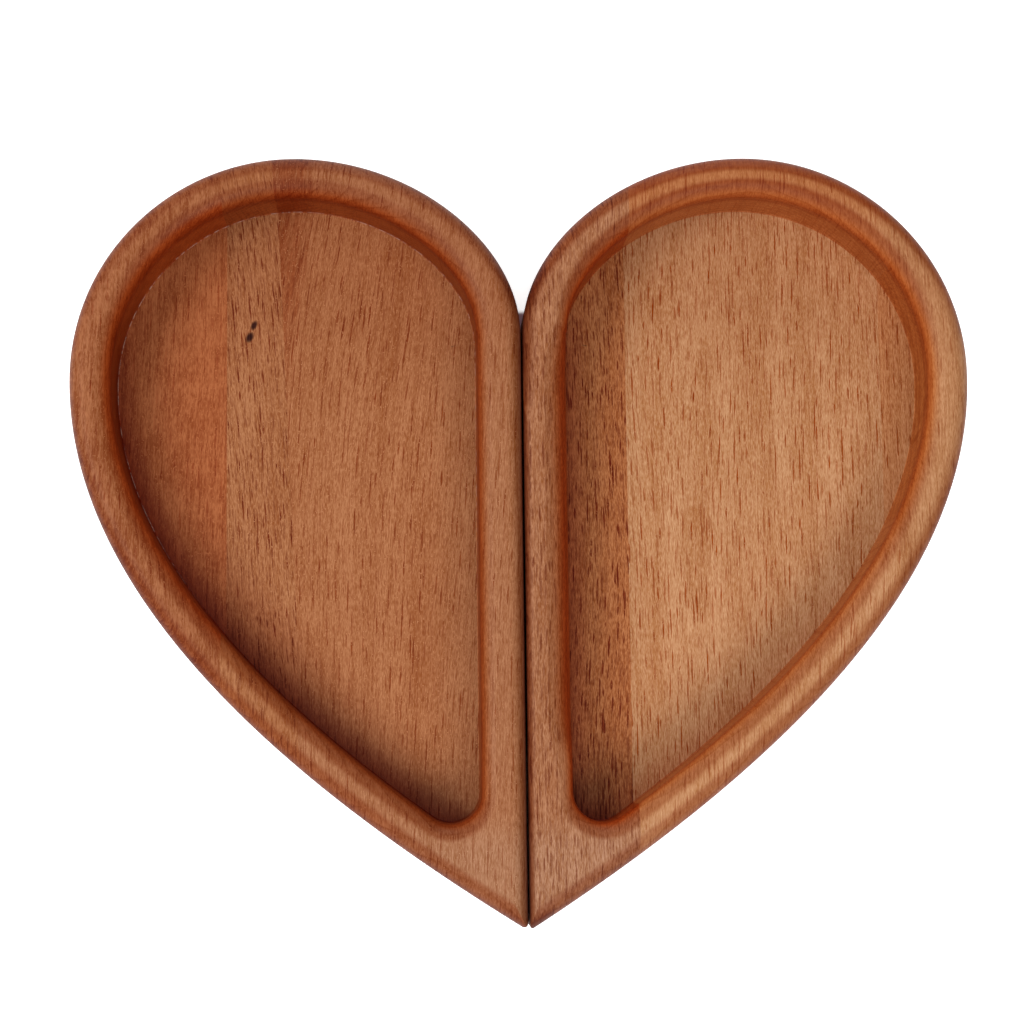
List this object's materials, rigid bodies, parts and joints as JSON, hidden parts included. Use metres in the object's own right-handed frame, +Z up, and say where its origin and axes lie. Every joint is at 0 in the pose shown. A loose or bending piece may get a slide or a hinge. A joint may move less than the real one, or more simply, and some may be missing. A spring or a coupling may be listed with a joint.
{
  "type": "heart-shaped serving tray pair",
  "caption": "Two half-heart wooden trays with flat-bottomed recesses and rounded rims, which stand side by side as one heart and pull apart.",
  "frame": {"origin": "centre of the bounding box at the resting face, on the plane where the two trays meet", "axes": "+X across the heart from the left tray to the right tray, +Y from the tip towards the lobes, +Z up out of the recesses"},
  "size_m": [0.19, 0.1626, 0.02],
  "materials": {
    "left_inner_beech": "oiled satin",
    "left_middle_beech": "oiled satin",
    "left_outer_beech": "oiled satin",
    "right_inner_beech": "oiled satin",
    "right_middle_beech": "oiled satin",
    "right_outer_beech": "oiled satin"
  },
  "bodies": {
    "left_tray": {"left_inner_stave": "left_inner_beech", "left_middle_stave": "left_middle_beech", "left_outer_stave": "left_outer_beech"},
    "right_tray": {"right_inner_stave": "right_inner_beech", "right_middle_stave": "right_middle_beech", "right_outer_stave": "right_outer_beech"}
  },
  "joints": [
    {"name": "right_tray_slide", "type": "slide", "parent": "left_tray", "child": "right_tray", "axis": [1, 0, 0], "range_m": [0, 0.1]}
  ]
}
